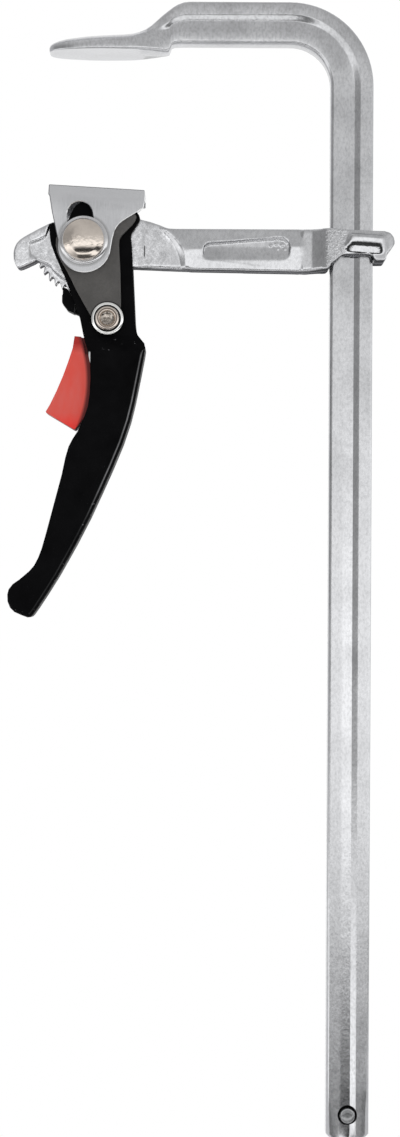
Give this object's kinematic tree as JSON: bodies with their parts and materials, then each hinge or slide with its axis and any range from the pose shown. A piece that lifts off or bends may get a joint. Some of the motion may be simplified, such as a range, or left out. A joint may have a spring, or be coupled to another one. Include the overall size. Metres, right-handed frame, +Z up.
{
  "type": "quick release bar clamp",
  "caption": "Quick release bar clamp: bent rail with a fixed jaw, sliding arm, ratchet lever that lifts a tilting pressure plate, and a release trigger.",
  "frame": {"origin": "on the face of the fixed jaw, above the middle of the pressure plate", "axes": "+Z up along the bar, from its free end towards the fixed jaw; +X from the jaw towards the bar; +Y across the clamp, away from the front"},
  "size_m": [0.1982, 0.0368, 0.5825],
  "materials": {
    "forged_zinc": "satin",
    "forged_steel": "satin",
    "zinc_plate": "satin",
    "zinc_pin": "satin",
    "nickel": "polished",
    "black_gloss": "gloss",
    "grey_cheek": "satin",
    "red_plastic": "satin"
  },
  "bodies": {
    "rail": {"rail": "forged_zinc", "stop_pin": "zinc_pin"},
    "arm": {"sliding_arm": "forged_steel", "pivot_rivet": "nickel", "front_pivot_washer": "zinc_pin", "rear_pivot_washer": "zinc_pin"},
    "lever": {"lever_handle": "black_gloss", "front_cheek": "grey_cheek", "rear_cheek": "grey_cheek", "pawl_rivet": "nickel", "front_rivet_washer": "zinc_pin", "rear_rivet_washer": "zinc_pin", "front_pawl_spacer": "zinc_pin", "rear_pawl_spacer": "zinc_pin", "pawl_spring": "zinc_pin"},
    "pawl": {"pawl": "black_gloss", "release_trigger": "red_plastic", "trigger_pin": "zinc_pin"},
    "plate_guide": {"front_slot_bush": "zinc_pin", "rear_slot_bush": "zinc_pin"},
    "plate": {"pressure_plate": "zinc_plate"}
  },
  "joints": [
    {"name": "arm_slide", "type": "slide", "parent": "rail", "child": "arm", "axis": [0, 0, 1], "range_m": [-0.436, 0.061]},
    {"name": "lever_swing", "type": "hinge", "parent": "arm", "child": "lever", "pos_m": [-0.006, 0, -0.0976], "axis": [0, -1, 0], "range_deg": [-36, 27]},
    {"name": "pawl_release", "type": "hinge", "parent": "lever", "child": "pawl", "pos_m": [0.0062, 0, -0.1371], "axis": [0, -1, 0], "range_deg": [-5.5, 6], "stiffness_Nm_per_rad": 0.8, "deforming": ["pawl_spring"]},
    {"name": "plate_tilt", "type": "hinge", "parent": "arm", "child": "plate_guide", "pos_m": [-0.006, 0, -0.0976], "axis": [0, -1, 0], "range_deg": [-1, 7]},
    {"name": "plate_lift", "type": "slide", "parent": "plate_guide", "child": "plate", "axis": [-0.1523, 0, 0.9883], "range_m": [-0.0066, 0.005]}
  ],
  "couplings": [
    {"joint": "plate_lift", "follows": "lever_swing", "m_per_rad": 0.010223}
  ]
}
